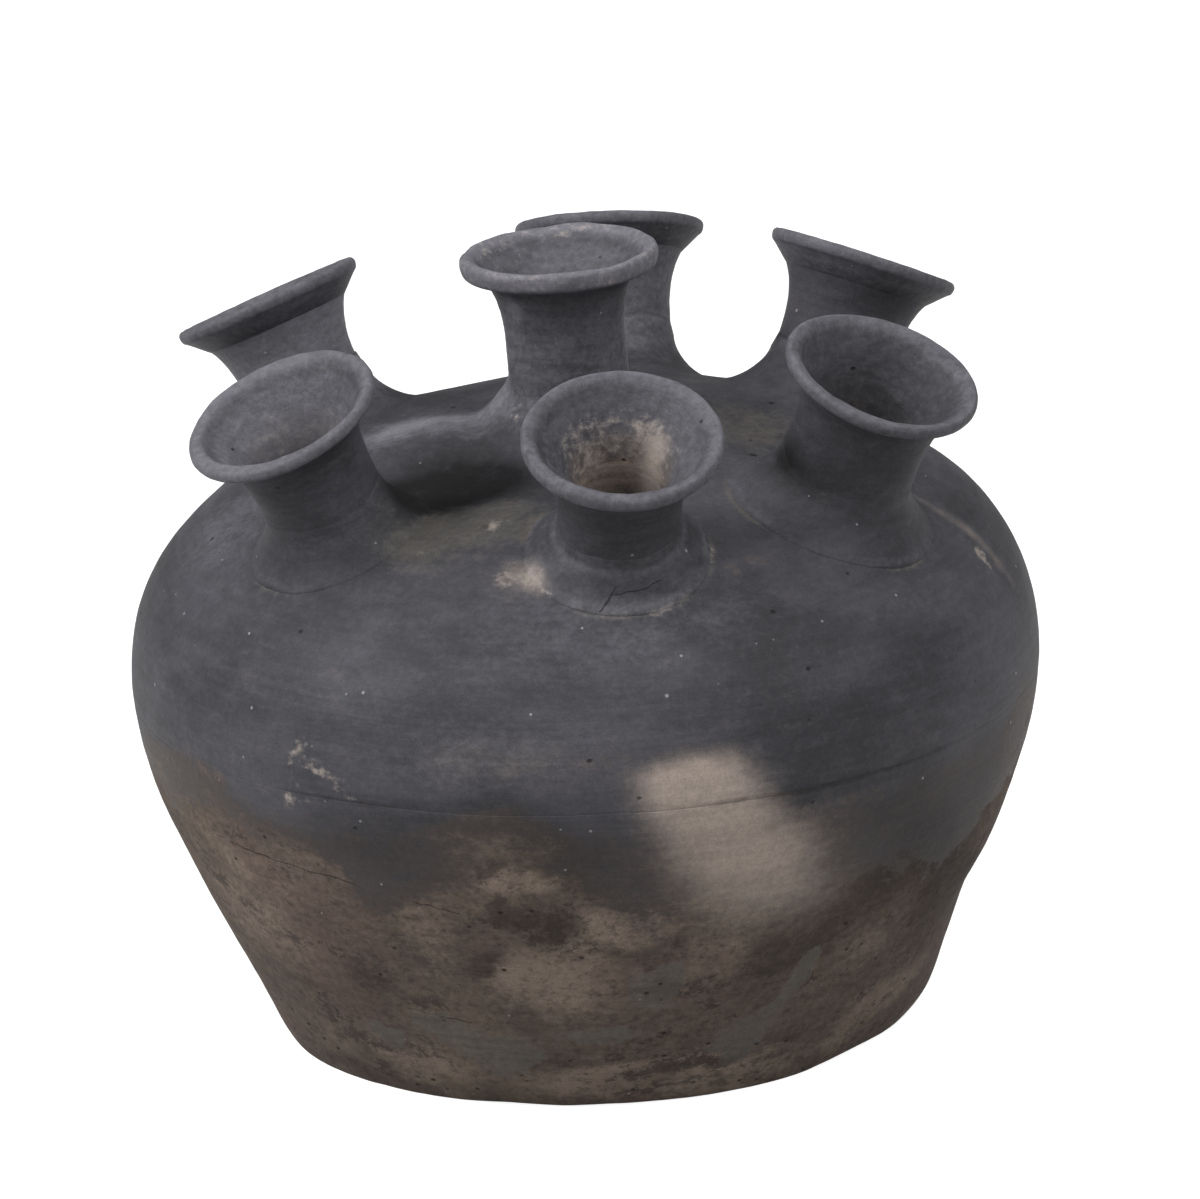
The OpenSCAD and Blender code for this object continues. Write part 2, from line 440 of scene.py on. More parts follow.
def bowl_section():
    """Half section of the bowl as (radius, height, skin, rim)."""
    lean = math.atan(belly_rate(0))
    corner_r = FOOT_R + FOOT_ROUND * math.tan(lean) - FOOT_ROUND / math.cos(lean)
    corner = arc(corner_r, FOOT_ROUND, FOOT_ROUND, -90, -math.degrees(lean), 9)
    rim_low = SEAM_H - RIM_STEPS[-1][0]
    heights = np.linspace(corner[-1][1] + 1.8 * MM, rim_low - 1.9 * MM, 80)
    under = [(r, 0.0) for r in np.linspace(0, corner_r - 3 * MM, 26)]
    outer = under + corner + [(belly_radius(z), z) for z in heights]
    section = [(r, z, 1.0, 0.0) for r, z in outer]
    for drop, rim in reversed(RIM_STEPS):
        section.append((belly_radius(SEAM_H - drop), SEAM_H - drop, 1.0, rim))
    section += rim_face((0.3, 0.65, 1.0))
    inner_low = FLOOR + CAVITY_ROUND
    inner = [(belly_radius(z) - WALL, z) for z in np.linspace(SEAM_H - 12 * MM, inner_low, 18)]
    inner += arc(belly_radius(FLOOR) - WALL - 12 * MM, inner_low, CAVITY_ROUND, -20, -90, 5)
    inner += [(r, FLOOR) for r in np.linspace(110 * MM, 0, 8)]
    return section + [(r, z, 0.0, 0.0) for r, z in inner]


bowl = thrown("clay_bowl", bowl_section(), SPIN_STEPS, closed=False)
shape_body(bowl)
print("bowl:", len(bowl.data.polygons), "faces")

# %% [markdown]
# ## Crown
#
# The crown is the bowl's partner, turned over onto it. Its skin is a superellipse, stepped by
# angle so that the points stay evenly spread. The potter cut a hole for each spout, and so does a
# Boolean with seven cylinders. It is applied at once, so that the finish can be worked out on the
# final mesh.

# %% Section and mesh of the crown
def crown_section():
    """Half section of the crown as (radius, height, skin, rim)."""
    section = rim_face((1.0, 0.65, 0.3))
    section += [(belly_radius(SEAM_H + rise), SEAM_H + rise, 1.0, rim) for rise, rim in RIM_STEPS]
    for z in (SEAM_H + 4.2 * MM, BELLY_H - 1.0 * MM):
        section.append((belly_radius(z), z, 1.0, 0.0))
    power = 2 / CROWN_CURVE
    for start, end, count, inset in ((0.6, 90, 118, 0), (90, 4, 22, WALL)):
        for angle in np.radians(np.linspace(start, end, count)):
            across = (BODY_R - inset) * abs(math.cos(angle)) ** power
            height = BELLY_H + (CROWN_RISE - inset) * math.sin(angle) ** power
            section.append((across, height, 0.0 if inset else 1.0, 0.0))
    return section


def spout_holes():
    """One object with a cylinder through the crown for each spout."""
    bm = bmesh.new()
    for spout in SPOUTS:
        hole_r = spout.neck_r + 0.4 * MM
        bmesh.ops.create_cone(
            bm, cap_ends=True, cap_tris=False, segments=128, radius1=hole_r, radius2=hole_r,
            depth=80 * MM, matrix=spout_frame(spout),
        )
    return placed("spout_holes", bm)


def cut(piece, cutter):
    """Cuts one object out of another and applies the cut."""
    boolean = piece.modifiers.new("holes", "BOOLEAN")
    boolean.operation = "DIFFERENCE"
    boolean.solver = "EXACT"
    boolean.object = cutter
    evaluated = piece.evaluated_get(bpy.context.evaluated_depsgraph_get())
    finished = bpy.data.meshes.new_from_object(evaluated)
    piece.modifiers.clear()
    piece.data = finished
    bpy.data.objects.remove(cutter)


crown = thrown("clay_crown", crown_section(), SPIN_STEPS, closed=True)
shape_body(crown)
cut(crown, spout_holes())
print("crown:", len(crown.data.polygons), "faces")

# %% [markdown]
# ## Coil inside the seam
#
# A roll of clay was pressed into the joint from inside to seal it. Nobody sees it in the finished
# pot, but it is a piece of it, so it is a real coil with the dents of finger tips all the way
# round.

# %% Seam coil
COIL_R = 7.4 * MM
FINGER_DENTS = 74


def seam_roll():
    """The pressed coil behind the seam."""
    middle_r = belly_radius(SEAM_H) - WALL
    half = arc(middle_r, SEAM_H - SEAM_FALL, COIL_R, 95, 265, 12)
    section = [(r, z, 1.0, 0.0) for r, z in half]
    roll = thrown("clay_seam_coil", section, 240, closed=True)
    places, normals = read(roll), read(roll, "normal")
    dents = 0.5 + 0.5 * np.cos(np.radians(azimuth(places)) * FINGER_DENTS)
    press = -1.6 * MM * dents + layered(places, (0.7, 16, 10))
    write(roll, places + normals * press[:, None])
    return roll


coil = seam_roll()
print("coil:", len(coil.data.polygons), "faces")

# %% [markdown]
# ## Necks
#
# A neck is a thrown tube that opens into a funnel. Its section is a closed loop: outside from the
# root up to the seat of the lip, then back down the funnel and the bore. Both sides of the funnel
# are parts of an ellipse. Outside it is most of a quarter, so the neck stays slender and flares
# out at the end, and inside it is half of one, which makes a plain cone. Afterwards the tube gets
# its own wobble and the fine ridges that wet fingers leave.

# %% Section of a neck
NECK_WALL = 8.5 * MM
MOUTH_R = 41.5 * MM
LIP_SEAT = 2.5 * MM
FLARE_H = 34.5 * MM
TURN_IN = 54
SEAT_IN = 38.1 * MM
# outer radius at the top of a neck, and through how many degrees its outer curve turns
SLENDER = (41.2 * MM, 80)
TRUMPET = (42.8 * MM, 68)
ROOT_H = -19 * MM
NECK_STEPS = 176


def flare(radius, mouth, low, high, turn):
    """Points on the curve from a straight tube of one radius to a mouth of another."""
    angles = np.radians(np.linspace(0, turn, 28))
    out = (1 - np.cos(angles)) / (1 - math.cos(angles[-1]))
    up = np.sin(angles) / math.sin(angles[-1])
    return list(zip(radius + (mouth - radius) * out, low + (high - low) * up))


def flare_drop(place, radius, mouth, turn):
    """How far below the mouth a flare is as wide as `place`."""
    end = math.radians(turn)
    share = max(0.0, min(1.0, (place - radius) / (mouth - radius))) * (1 - math.cos(end))
    return FLARE_H * (1 - math.sin(math.acos(1 - share)) / math.sin(end))


def neck_curve(spout):
    """Outer radius of a neck at its top, and how far its outer curve turns."""
    return TRUMPET if spout.name in ("right_rear", "rear", "left_rear") else SLENDER


def neck_section(spout):
    """Closed half section of a neck in the spout's own frame."""
    seat_r, turn = neck_curve(spout)
    bore_r = spout.neck_r - NECK_WALL
    top = spout.length - LIP_SEAT
    low = top - FLARE_H
    tube = list(np.linspace(ROOT_H + 1 * MM, low, 32)[:-1])
    section = [(spout.neck_r, z, 1.0, 0.0) for z in tube]
    section += [(r, z, 1.0, 0.0) for r, z in flare(spout.neck_r, seat_r, low, top, turn)]
    section += [(r, top + 0.3 * MM, 0.3, 0.0) for r in (seat_r - 1.0 * MM, SEAT_IN + 1.0 * MM)]
    section += [(r, z, 1.0, 1.0) for r, z in reversed(flare(bore_r, SEAT_IN, low, top, TURN_IN))]
    section += [(bore_r, z, 1.0, 1.0) for z in reversed(tube)]
    section += [(r, ROOT_H, 0.5, 0.0) for r in (bore_r + 1.2 * MM, spout.neck_r - 1.2 * MM)]
    return section


# %% Necks
def into_vase(places, spout):
    """Moves points from a spout's own frame into the vase's frame."""
    matrix = np.array(spout_frame(spout))
    return places @ matrix[:3, :3].T + matrix[:3, 3]


def mouth_wobble(places, seed):
    """Sideways push that makes a mouth slightly out of round, growing towards the top."""
    turn = np.arctan2(places[:, 1], places[:, 0])
    oval = 0.55 * np.cos(2 * turn + seed * 1.9)
    lean = 0.5 + 0.5 * noise.noise(Vector((seed * 1.7, 0.4, 0.9)))
    return (oval + 0.35 * np.cos(3 * turn + seed * 4.1) * lean) * MM


def make_neck(spout, seed):
    """Neck of one spout."""
    neck = thrown("clay_neck_" + spout.name, neck_section(spout), NECK_STEPS, closed=True)
    places, normals, skin = read(neck), read(neck, "normal"), read(neck, "skin")
    height = places[:, 2]
    free = ease(height, 4 * MM, 22 * MM)
    below = spout.length - height
    around = places / np.maximum(np.hypot(places[:, 0], places[:, 1]), MM)[:, None] * 28 * MM
    around[:, 2] = height
    relief = layered(around, (0.42, 30, 20 + seed), (0.16, 11, 30 + seed))
    relief += layered(around * np.array([1.0, 1.0, 9.0]), (0.13, 28, 40 + seed))
    relief = relief * skin * (0.15 + 0.85 * free) * (1 - 0.6 * ease(below, 20 * MM, 6 * MM))
    places = places + normals * relief[:, None]
    away = places * np.array([1, 1, 0]) / np.hypot(places[:, 0], places[:, 1])[:, None]
    rise = ease(height, spout.length - FLARE_H, spout.length)
    places = places + away * (rise * mouth_wobble(places, seed))[:, None]
    write(neck, into_vase(places, spout))
    return neck


necks = [make_neck(spout, seed) for seed, spout in enumerate(SPOUTS)]
print("necks:", sum(len(neck.data.polygons) for neck in necks), "faces")

# %% [markdown]
# ## Foot collars
#
# Round the foot of each neck the potter laid a coil and wiped it down onto the crown. It hugs a
# crown that is itself uneven, so it can't be turned in place. It is turned as a flat ring whose
# points know how far across the collar they lie, and then each point is laid on the crown's real
# skin and raised by the collar's height there. The outer edge stands proud by a hair and dips
# under, so it shows.

# %% Laying a ring on the crown
def crown_skin(points, direction):
    """Slides points along a direction onto the crown's skin. Gives the places and normals."""
    places = points.copy()
    for _ in range(6):
        radius = np.hypot(places[:, 0], places[:, 1])
        miss = crown_height(radius) - places[:, 2]
        places = places + np.outer(miss * direction[2], direction)
    radius = np.maximum(np.hypot(places[:, 0], places[:, 1]), 0.1 * MM)
    share = radius / BODY_R
    fall = CROWN_RISE / BODY_R * share ** (CROWN_CURVE - 1)
    fall *= (1 - share**CROWN_CURVE) ** (1 / CROWN_CURVE - 1) / radius
    normals = np.column_stack([fall * places[:, 0], fall * places[:, 1], np.ones(len(places))])
    normals /= np.linalg.norm(normals, axis=1)[:, None]
    return places + normals * body_relief(places)[:, None], normals


def collar_section():
    """Flat ring: `along` runs from 0 at the neck to 1 at the edge, and back under as minus that."""
    flank = list(0.95 * np.linspace(0, 1, 24) ** 1.5)
    top = [-0.1, -0.05, -0.02] + flank + [0.975, 1.0, 1.02, 1.05]
    section = [(1 + u, 0.0, 1.0, u) for u in top]
    return section + [(1 + u, -0.1, 0.0, u) for u in (1.0, 0.7, 0.4, 0.1, -0.1)]


# %% Forms of the collars
# Height at the neck, curve of the flank, width, and height of the step at the edge. A curve of 1
# is a straight slope with a crease above it, and a smaller one flows out of the neck.
CollarForm = namedtuple("CollarForm", "rise curve width step")
COLLARS = {
    "centre": CollarForm(16.5 * MM, 0.66, 17.0 * MM, 0.45 * MM),
    "front": CollarForm(12.5 * MM, 0.88, 14.5 * MM, 1.0 * MM),
    "right_front": CollarForm(17.0 * MM, 0.74, 18.0 * MM, 1.6 * MM),
    "right_rear": CollarForm(18.0 * MM, 0.62, 19.0 * MM, 0.15 * MM),
    "rear": CollarForm(18.0 * MM, 0.62, 19.0 * MM, 0.15 * MM),
    "left_rear": CollarForm(17.5 * MM, 0.64, 18.5 * MM, 0.2 * MM),
    "left_front": CollarForm(14.5 * MM, 0.76, 16.0 * MM, 1.4 * MM),
}
# Where the edge of a collar stands out: middle and reach, in degrees of the spout's own turn.
EDGES = {
    "front": ((0, 58), (84, 16), (-122, 18)),
    "right_front": ((-112, 34), (-4, 26)),
    "left_front": ((-4, 24),),
}


def edge_shown(spout, turn):
    """How clearly the edge of a collar shows at each turn, up to 1."""
    shown = np.full(len(turn), 0.15)
    for middle, reach in EDGES.get(spout.name, ()):
        shown = np.maximum(shown, hump(apart(np.degrees(turn), middle), reach))
    return shown


def collar_width(spout, turn):
    """Width of a collar at each turn round its spout, a little uneven and torn at the edge."""
    seed = SPOUTS.index(spout)
    circle = round_circle(turn)
    uneven = 1.7 * grain(circle, 1.1, 50 + seed) + 0.6 * grain(circle, 0.3, 60 + seed)
    return COLLARS[spout.name].width + (uneven + 0.3 * grain(circle, 0.07, 65 + seed)) * MM


# %% Collars
COLLAR_STEPS = 208
COLLAR_SUNK = 3 * MM
FRONT_LUMPS = 2.3


def make_collar(spout, seed):
    """Collar round the foot of one spout."""
    form = COLLARS[spout.name]
    collar = thrown("clay_collar_" + spout.name, collar_section(), COLLAR_STEPS, closed=True)
    places, across, top = read(collar), read(collar, "along"), read(collar, "skin")
    turn = np.arctan2(places[:, 1], places[:, 0])
    circle = round_circle(turn)
    inside = np.clip(across, 0, 1)
    flank = (1 - inside**form.curve) ** (1 / form.curve)
    rise = form.rise * (1 + 0.12 * grain(circle, 0.9, 70 + seed)) * flank
    step = form.step * (0.2 + 0.8 * edge_shown(spout, turn))
    rise += step * (0.8 + 0.5 * grain(circle, 0.35, 80 + seed)) * ease(inside, 0.25, 0.9)
    rise -= ease(across, 0.985, 1.05) * (2.2 * MM + form.step)
    rise += np.maximum(-across, 0) * 70 * MM
    flat = circle * (spout.neck_r + across * collar_width(spout, turn))[:, None]
    lumps = layered(flat + np.array([0, 0, seed]), (0.4, 13, 90 + seed), (0.16, 4.5, 95 + seed))
    lumps *= FRONT_LUMPS if spout.name == "front" else 1.0
    rise += lumps * ease(inside, 0.02, 0.2) * (1 - 0.7 * inside)
    rise = np.where(top > 0.5, rise, -COLLAR_SUNK)
    axis = np.array(spout_frame(spout).to_3x3() @ Vector((0, 0, 1)))
    ground, normals = crown_skin(into_vase(flat, spout), axis)
    write(collar, ground + rise[:, None] * (0.5 * axis + 0.5 * normals))
    return collar


collars = [make_collar(spout, seed) for seed, spout in enumerate(SPOUTS)]
print("collars:", sum(len(collar.data.polygons) for collar in collars), "faces")

# %% [markdown]
# ## Lips
#
# A roll of clay finishes each mouth. The potter pressed it to a broad band and wiped it into the
# funnel, so inside it has no edge but for one side, where the band stands up. Outside it either
# overhangs the neck, which leaves a dark undercut line, or was wiped down the neck too. Its
# section is drawn through a few points. Noise along the roll makes it thicker and thinner, and
# the middle spout's lip is the roughest, lumpy and worn.

# %% Section of a lip
# How lumpy the lip is, how high its inner edge stands up and on which side, in the spout's own
# turn, how far it is wiped down outside and how deep it hangs; millimetres, degrees and a factor.
LipForm = namedtuple("LipForm", "lumps brow side down deep")
LIPS = {
    "centre": LipForm(1.0, 2.0, 90, 0, 1.7),
    "front": LipForm(0.35, 3.6, -20, 0, 1.0),
    "right_front": LipForm(0.25, 1.8, -80, 4.5, 1.0),
    "right_rear": LipForm(0.3, 0.6, -124, 6.0, 1.0),
    "rear": LipForm(0.3, 0.6, -172, 6.0, 1.0),
    "left_rear": LipForm(0.3, 0.6, 121, 6.0, 1.0),
    "left_front": LipForm(0.6, 4.6, 12, 0, 0.8),
}


def lip_points(spout):
    """Points of a lip's section, outward from the middle of the roll and upward, in millimetres."""
    def funnel(out, raised):
        drop = flare_drop(MOUTH_R + out * MM, spout.neck_r - NECK_WALL, SEAT_IN, TURN_IN)
        return out, raised - (LIP_SEAT + drop) / MM

    crest = [(4.35, 0.4), (3.9, 2.1), (2.6, 3.1), (0.9, 2.6), (-1.0, 1.3)]
    wiped = [funnel(-4, 1.4), funnel(-6.5, 0.8), funnel(-9, 0.35), funnel(-11, -0.1)]
    points = crest + wiped + [funnel(-11.6, -1.3), funnel(-9, -2.6)]
    down = LIPS[spout.name].down
    if down == 0:
        hanging = ((1.0, -3.2), (3.2, -2.7), (4.2, -1.1))
        deep = LIPS[spout.name].deep
        return points + [(-4.6, -4.9)] + [(out, up * deep) for out, up in hanging]
    seat_r, turn = neck_curve(spout)
    level = -(LIP_SEAT + flare_drop(MOUTH_R - down * MM, spout.neck_r, seat_r, turn)) / MM
    return points + [(-down - 0.8, level - 0.8), (-down + 0.5, level), (1.2, -3.6), (3.6, -1.9)]


def rounded(points, steps):
    """A smooth closed curve through a few points."""
    curve = []
    for index in range(len(points)):
        four = (np.array(points[(index + k) % len(points)]) for k in (-1, 0, 1, 2))
        before, here, after, beyond = four
        for t in np.arange(steps) / steps:
            bend = (after - before) * t + (2 * before - 5 * here + 4 * after - beyond) * t**2
            curve.append(here + (bend + (3 * here - before - 3 * after + beyond) * t**3) / 2)
    return curve


# %% Lips
LIP_STEPS = 240
LIP_UP = 0.7 * MM


def make_lip(spout, seed):
    """Roll of clay on one mouth."""
    section = [(MOUTH_R + r * MM, z * MM, 1.0, 0.0) for r, z in rounded(lip_points(spout), 3)]
    lip = thrown("clay_lip_" + spout.name, section, LIP_STEPS, closed=True)
    places, normals = read(lip), read(lip, "normal")
    lumps, brow, side = LIPS[spout.name][:3]
    turn = np.arctan2(places[:, 1], places[:, 0])
    out = np.hypot(places[:, 0], places[:, 1]) - MOUTH_R
    facing = hump(apart(np.degrees(turn), side), 78)
    raised = brow * MM * facing * hump(out + (1.6 + 0.55 * brow) * MM, (2.6 + 0.3 * brow) * MM)
    circle = round_circle(turn)
    swell = 0.85 * grain(circle, 0.5, 100 + seed) + 0.25 * grain(circle, 0.16, 110 + seed)
    swell *= lumps * MM
    swell += layered(places, (0.1 + lumps * 0.26, 8, 120 + seed), (0.11, 3.2, 130 + seed))
    swell *= ease(out, -11 * MM, -4 * MM)
    top = ease(places[:, 2], -4.0 * MM, 0.5 * MM)
    lift = lumps * 0.8 * MM * grain(circle, 0.8, 140 + seed) + LIP_UP
    push = normals * (swell * top)[:, None]
    places = places + push + circle * mouth_wobble(places, seed)[:, None]
    places[:, 2] += spout.length + top * (lift + raised)
    write(lip, into_vase(places, spout))
    return lip


lips = [make_lip(spout, seed) for seed, spout in enumerate(SPOUTS)]
print("lips:", sum(len(lip.data.polygons) for lip in lips), "faces")

# %% [markdown]
# ## Where the fire and the hands left marks
#
# Smoke blackened most of the vase. Its lower third lay in embers and burnt warm and blotchy, a
# pale cloud opened on the belly, soot and dust settled in the hollows. Some marks are painted
# light: painted shade in the hollows between the spouts, at the sides and deep in the bores, and
# painted light on the lit ridge, the left shoulder, the middle and rear necks, the crests of lips
# and collars and near the foot. The places of these marks are a matter of looking, so they stand
# in tables. Each kind of mark becomes a number per vertex, and the finish breaks up its edges with
# noise later.

# %% Tables of marks
FIRE_EDGE = [
    # turn, and height in millimetres up to which the clay burnt warm
    (-125, 126), (-92, 141), (-66, 137), (-54, 146), (-44, 144), (-36, 136), (-31, 112),
    (-27, 112), (-22, 124), (-15, 136), (-8, 137), (-2, 124), (6, 110), (14, 118), (25, 104),
    (36, 106), (52, 102), (64, 112), (80, 128), (100, 112), (125, 92), (150, 108), (175, 122),
    (200, 96), (218, 112),
]
MARKS = {
    # turn, height, half width and half height in millimetres, amount, and tilt if any
    "fire": [
        (-11, 152, 26, 16, 0.35), (-62, 156, 44, 13, 0.3), (74, 150, 30, 30, 0.2),
    ],
    "light": [
        (-54, 90, 50, 40, 0.6), (-5, 76, 40, 22, 1.0, 12), (3, 106, 24, 11, 1.1),
        (16, 88, 26, 24, 0.6), (-10, 128, 22, 7, 0.8), (-23, 100, 18, 16, 0.6),
        # the three marks near the foot are partly painted fill light, which makes the foot lighter
        (-31, 21, 40, 10, 0.7), (52, 28, 44, 14, 1.0, 14), (8, 12, 80, 13, 1.5),
        (42, 66, 20, 18, 0.4), (150, 74, 70, 30, 1.0), (205, 52, 60, 24, 0.9),
        (245, 104, 50, 24, 0.8),
    ],
    "dark": [
        (-13, 112, 10, 9, 0.9), (-6, 107, 22, 11, 0.95, -6), (-35, 68, 25, 13, 0.8, -8),
        (-15.5, 86, 14, 10, 0.9), (5, 94, 23, 6, 0.8), (26, 72, 30, 12, 0.9, 10),
        (34, 92, 50, 13, 0.9, 8), (26, 22, 44, 5, 0.6, 6), (2, 24, 50, 4, 0.5, 3),
        (-52, 9, 70, 9, 0.7), (60, 76, 42, 34, 1.1), (178, 92, 36, 16, 1.0),
        (228, 72, 30, 14, 0.9),
    ],
    "smudge": [
        (-26, 44, 20, 9, 0.8), (-16, 32, 34, 12, 1.0), (-36, 37, 17, 8, 0.9),
        (1, 46, 24, 6, 1.0, 8), (8, 72, 15, 13, 1.2), (28.5, 59, 23, 7, 1.3, 62),
        (23.5, 34, 20, 15, 1.2), (135, 40, 40, 12, 0.9),
    ],
    "pale": [
        (12.3, 180, 25, 12, 1.0), (14.5, 165, 32, 13, 0.66), (17.5, 145, 38, 18, 0.72),
        (21, 124, 42, 18, 0.6), (24, 104, 46, 15, 0.3), (-12, 190, 36, 12, 0.16),
        (195, 158, 40, 15, 0.5, -8), (203, 140, 48, 20, 0.5, 14), (76, 236, 5, 30, 0.3, 10),
    ],
    "soot_and_shade": [
        (-4, 148, 26, 24, 0.28), (42, 142, 26, 26, 0.4), (60, 120, 44, 34, 0.4),
        # the marks at -86 and 82 are painted shade that darkens the left and right edges
        (-28, 146, 30, 18, 0.3), (16, 194, 44, 5, 0.2), (-86, 184, 48, 52, 0.36),
        (82, 188, 30, 66, 0.38), (-56, 222, 44, 20, 0.1), (50, 112, 36, 20, 0.45),
    ],
    "wear": [
        # the mark at -80 is partly a painted highlight on the lit left shoulder
        (-80, 256, 46, 16, 0.34), (-14, 190, 44, 14, 0.18), (4, 244, 76, 15, 0.24),
    ],
    "chalk": [
        (-38.6, 164, 5, 4, 0.85), (-37.0, 179, 3, 13, 0.5, 8), (-35.2, 183, 3, 12, 0.45, 38),
        (-32.2, 172, 3.2, 11, 0.42, 38), (73.4, 226, 3.5, 7, 0.8, 20),
    ],
    "fleck": [
        (-37, 178, 20, 26, 1.0), (24, 214, 60, 24, 0.6), (-8, 200, 60, 16, 0.5),
    ],
}
BLOTS = {
    # soft balls in space: x, y, z and reach in millimetres, and amount
    "soot_and_shade": [
        # painted shade, with some soot, in the hollows between the spouts and beside the right
        # front neck
        (-52, -50, 274, 27, 1.5), (-70, -66, 272, 24, 1.0), (-82, -84, 266, 20, 0.7),
        (-30, -66, 280, 16, 0.6), (101, -97, 288, 16, 0.9), (96, -82, 280, 15, 0.6),
        (90, -40, 276, 16, 0.2), (84, 4, 282, 34, 0.4), (34, 66, 286, 44, 0.25),
    ],
    "wear": [
        # the first four are a painted highlight on the lit ridge left of the middle spout
        (-86, 4, 282, 15, 0.7), (-66, 8, 285, 15, 0.75), (-46, 0, 287, 14, 0.75),
        (-32, 0, 291, 9, 0.6), (-30, -15, 346, 6, 0.7),
    ],
    "pale": [
        (-29, -151, 258, 10, 0.36), (-19, -156, 257, 7, 0.5),
    ],
    "chalk": [
        (-29, -151, 258, 11, 0.5), (-16, -160, 254, 6, 0.5), (-36, -111, 274, 6, 0.7),
        (-73, -119, 266, 4, 0.5), (-64, -148, 255, 3, 0.5), (-24, -20, 297, 7, 0.35),
    ],
    "dust": [
        (-30, -14, 342, 7, 0.9), (85, 0, 280, 46, 0.55), (-38, -104, 274, 32, 0.8),
        (-80, -116, 264, 26, 0.66), (0, 60, 288, 50, 0.4), (36, -92, 276, 26, 0.4),
    ],
}


# %% Marks on every piece
def wander(points):
    """Points pushed about by noise, so that a mark drawn round them gets an uneven outline."""
    coarse = np.column_stack([grain(points, 34 * MM, seed) for seed in (201, 202, 203)])
    fine = np.column_stack([grain(points, 8 * MM, seed) for seed in (204, 205, 206)])
    return points + 9 * MM * coarse + 2.8 * MM * fine


def marked(points, kind):
    """Sum of all the marks of one kind."""
    total = np.zeros(len(points))
    for turn, height, wide, tall, amount, *tilt in MARKS.get(kind, ()):
        sizes = (height * MM, wide * MM, tall * MM, *tilt)
        total += amount * patch(points, turn, *sizes, firm=1.4)
    for x, y, z, reach, amount in BLOTS.get(kind, ()):
        total += amount * ball(points, (x, y, z), reach * MM)
    return total


def fire(points):
    """Warm, fire-marked clay low on the body."""
    turns, heights = zip(*FIRE_EDGE)
    edge = np.interp(azimuth(points), turns, np.array(heights) * MM, period=360)
    singed = 0.16 * ease(SEAM_H - points[:, 2], -5 * MM, 22 * MM)
    burnt = 0.8 * ease(edge - points[:, 2], -12 * MM, 14 * MM)
    return singed + burnt + marked(points, "fire")


def store(piece, name, values):
    """Keeps one number per vertex for the finish to read."""
    layer = piece.data.attributes.new(name, "FLOAT", "POINT")
    layer.data.foreach_set("value", np.asarray(values, dtype=np.float32))


def collar_edge(points, spout):
    """How far points lie outside the edge of a spout's collar."""
    away, height, turn = spout_parts(points, spout)
    edge = spout.neck_r + collar_width(spout, np.radians(turn))
    return away - edge + (1 - ease(np.abs(height), 30 * MM, 20 * MM)) * 40 * MM


def mark_piece(piece, rings, **extra):
    """Stores all the marks of one piece and drops the numbers that only shaped it."""
    points = read(piece)
    strayed = wander(points)
    kinds = ("light", "dark", "smudge", "pale", "soot_and_shade", "chalk", "fleck", "dust", "wear")
    values = {kind: marked(strayed, kind) for kind in kinds}
    values["pale"] = marked(0.65 * points + 0.35 * strayed, "pale")
    values["fire"] = fire(strayed)
    for kind, value in extra.items():
        values[kind] = values[kind] + value
    for kind, value in values.items():
        store(piece, kind, np.clip(value, 0, 1))
    store(piece, "rings", rings)
    store(piece, "arc", np.radians(azimuth(points)) * BODY_R)
    for name in ("skin", "along"):
        piece.data.attributes.remove(piece.data.attributes[name])


# %% [markdown]
# A thin light line, and a faint light strip beside it, run along the edges of the collars.
# So the marks of bowl and crown need to know how far each point lies from every collar.

# %% Marks on bowl, crown and coil
for piece in (bowl, crown):
    points = read(piece)
    line, strip = np.zeros(len(points)), np.zeros(len(points))
    for spout in SPOUTS:
        beyond = collar_edge(points, spout)
        shown = edge_shown(spout, np.radians(spout_parts(points, spout)[2]))
        clear = 1.8 if spout.name == "front" else COLLARS[spout.name].step / MM
        line = np.maximum(line, shown * hump(beyond - 0.6 * MM, 1.8 * MM) * clear)
        strip = np.maximum(strip, shown * hump(beyond - 1 * MM, 6 * MM) * 0.25)
    store(piece, "joint", points[:, 2] - seam_wander(points) - SEAM_H)
    store(piece, "open_joint", seam_strength(points))
    mark_piece(piece, points[:, 2], dust=0.4 * line + strip, chalk=0.2 * line)
mark_piece(coil, read(coil)[:, 2])

# %% [markdown]
# Ash blew into the funnels and hands rubbed the necks and lips, and with the rubbing goes painted
# light on the lit faces of the middle and rear necks and on the crests of the lips. The front
# funnel, which faces the viewer, shows most: a pale streak, mottles above it, warm clay further
# down and a hole darkened with painted shade, as the deep bores of the others are. Neck and lip
# share these marks, because the lip was wiped into the funnel.

# %% Marks on necks, collars and lips
# how much ash lies in each funnel and on each lip, how much each funnel is rubbed, and how much
# each neck is rubbed and lit with painted light
INSIDE_ASH = {"front": 1.0, "centre": 0.22, "left_front": 0.3}
LIP_ASH = {"centre": 0.26, "left_front": 0.1}
INSIDE_WEAR = {"front": 0.28, "centre": 0.34, "left_front": 0.38}
NECK_WEAR_AND_LIGHT = {"centre": 0.35, "rear": 0.4, "left_rear": 0.68}


